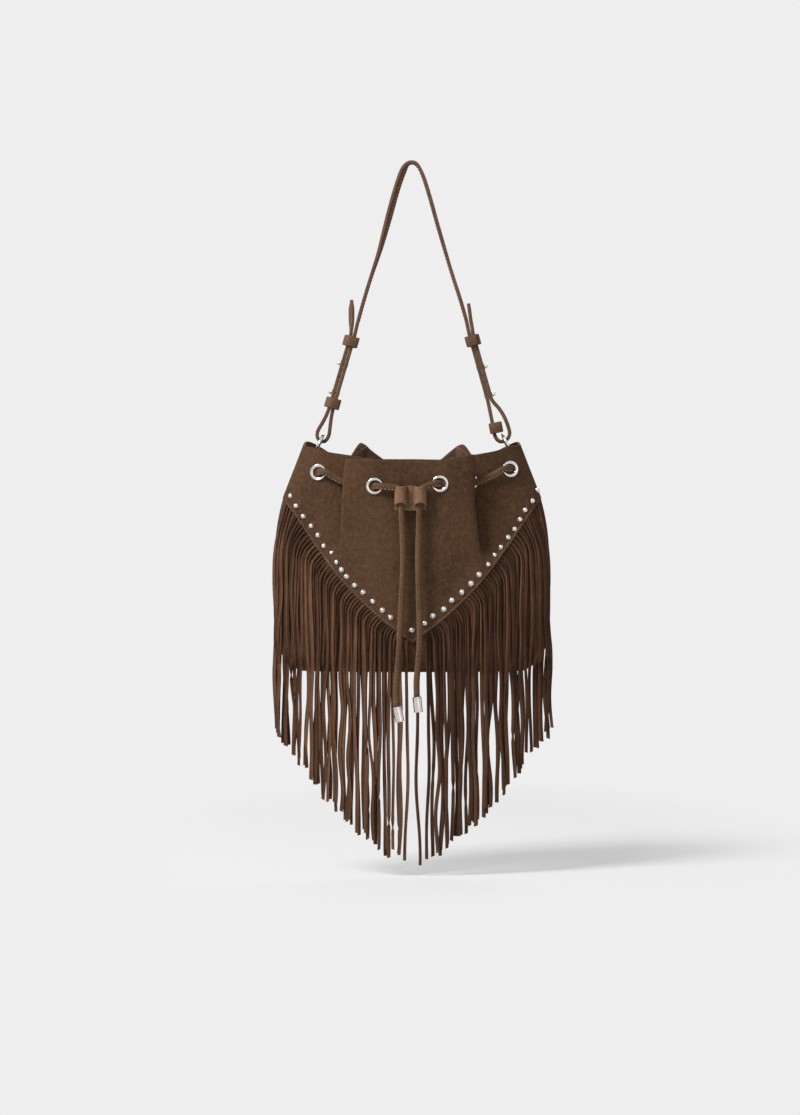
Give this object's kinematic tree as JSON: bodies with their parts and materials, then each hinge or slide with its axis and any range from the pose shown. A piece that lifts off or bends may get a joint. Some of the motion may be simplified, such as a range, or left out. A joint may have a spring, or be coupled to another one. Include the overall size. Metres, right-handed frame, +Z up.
{
  "type": "fringed shoulder bag",
  "caption": "Suede bucket bag with a gathered eyelet mouth, drawcord with a sliding stop, long fringe under a V-shaped yoke, and a short strap on rings.",
  "frame": {"origin": "underside of the top of the strap, where the bag hangs", "axes": "+Z up as the bag hangs, the front with the fringe faces -Y, +X to the right as seen from the front"},
  "size_m": [0.2476, 0.1365, 0.61],
  "materials": {
    "back_panel": "matt brown suede",
    "base_panel": "matt brown suede",
    "drawcord": "folded and stitched brown suede",
    "drawcord_tail_left": "folded and stitched brown suede",
    "drawcord_tail_right": "folded and stitched brown suede",
    "ferrule_left": "polished silver",
    "ferrule_right": "polished silver",
    "fringe_left": "matt brown suede",
    "fringe_right": "matt brown suede",
    "front_lower": "matt brown suede",
    "front_yoke": "matt brown suede",
    "grommet_back_left": "polished silver",
    "grommet_back_right": "polished silver",
    "grommet_back_side_left": "polished silver",
    "grommet_back_side_right": "polished silver",
    "grommet_front_left": "polished silver",
    "grommet_front_right": "polished silver",
    "grommet_pleat_left": "polished silver",
    "grommet_pleat_right": "polished silver",
    "grommet_side_left": "polished silver",
    "grommet_side_right": "polished silver",
    "keeper_left_lower": "matt brown suede, slightly lighter",
    "keeper_left_upper": "matt brown suede, slightly lighter",
    "keeper_right_lower": "matt brown suede, slightly lighter",
    "keeper_right_upper": "matt brown suede, slightly lighter",
    "ring_left": "polished silver",
    "ring_right": "polished silver",
    "ring_tab_left": "matt brown suede",
    "ring_tab_right": "matt brown suede",
    "slider": "matt brown suede, slightly lighter",
    "strap": "matt brown suede, slightly lighter",
    "strap_stud_left_lower": "polished silver",
    "strap_stud_left_upper": "polished silver",
    "strap_stud_right_lower": "polished silver",
    "strap_stud_right_upper": "polished silver"
  },
  "bodies": {
    "strap": {"strap": "strap", "strap_stud_left_lower": "strap_stud_left_lower", "strap_stud_left_upper": "strap_stud_left_upper", "strap_stud_right_lower": "strap_stud_right_lower", "strap_stud_right_upper": "strap_stud_right_upper"},
    "keeper_left_upper": {"keeper_left_upper": "keeper_left_upper"},
    "keeper_left_lower": {"keeper_left_lower": "keeper_left_lower"},
    "keeper_right_upper": {"keeper_right_upper": "keeper_right_upper"},
    "keeper_right_lower": {"keeper_right_lower": "keeper_right_lower"},
    "bag": {"back_panel": "back_panel", "base_panel": "base_panel", "drawcord": "drawcord", "drawcord_tail_left": "drawcord_tail_left", "drawcord_tail_right": "drawcord_tail_right", "ferrule_left": "ferrule_left", "ferrule_right": "ferrule_right", "fringe_left": "fringe_left", "fringe_right": "fringe_right", "front_lower": "front_lower", "front_yoke": "front_yoke", "grommet_back_left": "grommet_back_left", "grommet_back_right": "grommet_back_right", "grommet_back_side_left": "grommet_back_side_left", "grommet_back_side_right": "grommet_back_side_right", "grommet_front_left": "grommet_front_left", "grommet_front_right": "grommet_front_right", "grommet_pleat_left": "grommet_pleat_left", "grommet_pleat_right": "grommet_pleat_right", "grommet_side_left": "grommet_side_left", "grommet_side_right": "grommet_side_right", "ring_tab_left": "ring_tab_left", "ring_tab_right": "ring_tab_right"},
    "ring_left": {"ring_left": "ring_left"},
    "ring_right": {"ring_right": "ring_right"},
    "slider": {"slider": "slider"}
  },
  "joints": [
    {"name": "bag_swing", "type": "hinge", "parent": "strap", "child": "bag", "pos_m": [0, 0, -0.2442], "axis": [1, 0, 0], "range_deg": [-40, 40]},
    {"name": "ring_left_turn", "type": "hinge", "parent": "bag", "child": "ring_left", "pos_m": [-0.081, 0, -0.2442], "axis": [0.9063, 0, -0.4226], "continuous": true},
    {"name": "ring_right_turn", "type": "hinge", "parent": "bag", "child": "ring_right", "pos_m": [0.0826, 0, -0.2442], "axis": [0.9063, 0, 0.4226], "continuous": true},
    {"name": "keeper_left_upper_slide", "type": "slide", "parent": "strap", "child": "keeper_left_upper", "axis": [-0.283, 0, -0.9591], "range_m": [-0.003, 0.013]},
    {"name": "keeper_left_lower_slide", "type": "slide", "parent": "strap", "child": "keeper_left_lower", "axis": [-0.283, 0, -0.9591], "range_m": [-0.002, 0.004]},
    {"name": "keeper_right_upper_slide", "type": "slide", "parent": "strap", "child": "keeper_right_upper", "axis": [0.271, 0, -0.9626], "range_m": [-0.003, 0.016]},
    {"name": "keeper_right_lower_slide", "type": "slide", "parent": "strap", "child": "keeper_right_lower", "axis": [0.189, 0, -0.982], "range_m": [-0.007, 0.001]},
    {"name": "slider_slide", "type": "slide", "parent": "bag", "child": "slider", "axis": [0, 0.0029, -1], "range_m": [0, 0.125]}
  ]
}
